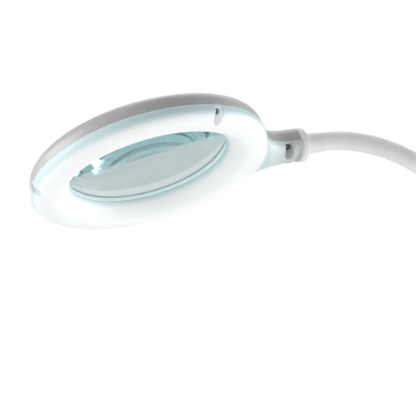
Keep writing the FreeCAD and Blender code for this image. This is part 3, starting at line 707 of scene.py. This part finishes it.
def light_inside(material, radius, low, high, strength, colour):
    """Glow on the part of a finish that lies near the head's axis, between two heights along it.

    The mask is 1 where the distance from the axis is under the radius and the height is between the two. The
    glow stands in for the lamps' light inside the head, and its strength is given."""
    tree = material.node_tree
    shader = tree.nodes["Principled BSDF"]
    place = add(tree, "TexCoord").outputs["Object"]
    local = add(tree, "VectorMath", {0: place, 1: tuple(head_centre)}, operation="SUBTRACT")
    from_centre = {0: local.outputs["Vector"], 1: tuple(head_z)}
    height = add(tree, "VectorMath", from_centre, operation="DOT_PRODUCT").outputs["Value"]
    flat = add(tree, "VectorMath", from_centre, operation="CROSS_PRODUCT").outputs["Vector"]
    away = add(tree, "VectorMath", {0: flat}, operation="LENGTH").outputs["Value"]
    near = add(tree, "Math", {0: away, 1: radius}, operation="LESS_THAN").outputs["Value"]
    above = add(tree, "Math", {0: height, 1: low}, operation="GREATER_THAN").outputs["Value"]
    below = add(tree, "Math", {0: height, 1: high}, operation="LESS_THAN").outputs["Value"]
    level = add(tree, "Math", {0: above, 1: below}, operation="MULTIPLY").outputs["Value"]
    mask = add(tree, "Math", {0: near, 1: level}, operation="MULTIPLY").outputs["Value"]
    power = add(tree, "Math", {0: mask, 1: strength}, operation="MULTIPLY").outputs["Value"]
    shader.inputs["Emission Color"].default_value = linear(colour)
    tree.links.new(power, shader.inputs["Emission Strength"])


light_inside(housing_abs, 56.0 * MM, 1.0 * MM, 9.4 * MM, 0.55, "#c9eef0")
light_inside(cover_abs, 50.5 * MM, 9.0 * MM, 12.3 * MM, 0.46, "#f4fbfb")

finishes = {
    "upper_housing": housing_abs, "neck_collar": white_abs, "lens_cover": cover_abs,
    "power_button": button_abs, "lens_retainer": retainer_painted_glow, "lens_gasket": gasket_painted_glow,
    "led_board": solder_mask, "driver_board": solder_mask, "leds": led_resin,
    "switch_body": black_pbt, "led_leads": lead_vinyl, "supply_lead": lead_vinyl,
    "ring_screws": screw_steel, "neck_screws": screw_steel, "base_screws": screw_steel,
    "hinge_pin": pin_steel, "ferrule_nut": nut_steel, "socket_nut": nut_steel,
    "upper_ferrule": white_abs, "lower_ferrule": white_abs, "arm_socket": white_abs, "base_cover": white_abs,
    "bottom_plate": plate_abs, "rubber_feet": foot_rubber, "base_weight": cast_iron,
    "power_jack": black_pbt, "jack_pin": brass}
finishes.update({name: core_steel for name in frame["nodes"] if name.startswith("arm_core")})
for name, finish in finishes.items():
    mesh = frame["nodes"][name].data
    mesh.materials.clear()
    mesh.materials.append(finish)
print("packed parts given a finish:", len(finishes))

# %% [markdown]
# ## Floor, light and camera
# A product picture of a white lamp needs a bright, even surround: large soft lights above and to
# the sides, and none from the front, so that the housing's wall keeps its grey.

# %% Floor
FLOOR_SIZE = 3.0
bpy.ops.mesh.primitive_plane_add(size=FLOOR_SIZE, location=(0, 0, 0))
floor = bpy.context.object
floor.name = "floor"
floor_paint, tree, shader = new_material("pale_floor", Roughness=0.7)
place = add(tree, "TexCoord").outputs["Object"]
mottle = add(tree, "TexNoise", {"Vector": place, "Scale": 4.0, "Detail": 3.0})
floor_tone = ramp(tree, mottle.outputs["Fac"], [(0.3, "#ececec"), (0.7, "#f1f1f1")])
tree.links.new(floor_tone, shader.inputs["Base Color"])
floor.data.materials.append(floor_paint)

# %% Light
WORLD_LIGHT = 0.36              # strength on the lamp; a camera ray sees full white
world = bpy.data.worlds.new("studio")
world.use_nodes = True
bpy.context.scene.world = world
tree = world.node_tree
seen = tree.nodes["Background"]
seen.inputs["Color"].default_value = (1, 1, 1, 1)
seen.inputs["Strength"].default_value = 1.0
lit = add(tree, "Background", {"Color": (1, 1, 1, 1), "Strength": WORLD_LIGHT})
which = add(tree, "LightPath").outputs["Is Camera Ray"]
both = add(tree, "MixShader", {0: which, 1: lit.outputs["Background"], 2: seen.outputs["Background"]})
tree.links.new(both.outputs["Shader"], tree.nodes["World Output"].inputs["Surface"])


def soft_light(name, place, target, size, watts):
    """A square soft light that faces a target."""
    data = bpy.data.lights.new(name, "AREA")
    data.shape = "SQUARE"
    data.size = size
    data.energy = watts
    made = bpy.data.objects.new(name, data)
    bpy.context.scene.collection.objects.link(made)
    made.location = place
    made.rotation_euler = (Vector(target) - Vector(place)).to_track_quat("-Z", "Y").to_euler()
    return made


middle = head_centre + 80 * MM * head_x
soft_light("top_light", (0.0, 0.1, 1.4), middle, 1.0, 5.0)
soft_light("left_light", (-1.35, 0.15, 0.45), middle, 0.9, 12.0)
soft_light("right_light", (1.2, 0.0, 0.45), middle, 0.9, 14.0)

# %% Camera
VIEW_AZIMUTH = math.radians(-14.2)
VIEW_ELEVATION = math.radians(-28.4)
VIEW_DISTANCE = 0.72
LENS_LENGTH = 99.1              # millimetres, on a sensor 36 wide
HEAD_OFFSET = (-0.0509, 0.0357)  # slope from the line of sight to the lens's centre: right, up
back = Vector((math.sin(VIEW_AZIMUTH) * math.cos(VIEW_ELEVATION),
               -math.cos(VIEW_AZIMUTH) * math.cos(VIEW_ELEVATION), math.sin(VIEW_ELEVATION)))
right = Vector((math.cos(VIEW_AZIMUTH), math.sin(VIEW_AZIMUTH), 0))
level_axes = Matrix((right, back.cross(right), back)).transposed()
sight = Vector((*HEAD_OFFSET, -1.0))
aim = Vector((0, 0, -1)).rotation_difference(sight).to_matrix()
camera_data = bpy.data.cameras.new("camera")
camera_data.sensor_width = 36.0
camera_data.lens = LENS_LENGTH
camera_data.clip_start = 0.01
camera = bpy.data.objects.new("camera", camera_data)
bpy.context.scene.collection.objects.link(camera)
stand = Matrix.Translation(Vector(head_centre) + VIEW_DISTANCE * back)
camera.matrix_world = stand @ (level_axes @ aim.transposed()).to_4x4()
bpy.context.scene.camera = camera
bpy.context.scene.view_settings.view_transform = "Standard"
bounces = bpy.context.scene.cycles  # light is thrown back many times inside the lens
bounces.max_bounces = 24
bounces.glossy_bounces = 20
bounces.transmission_bounces = 20
print("camera", [round(v, 3) for v in camera.location])
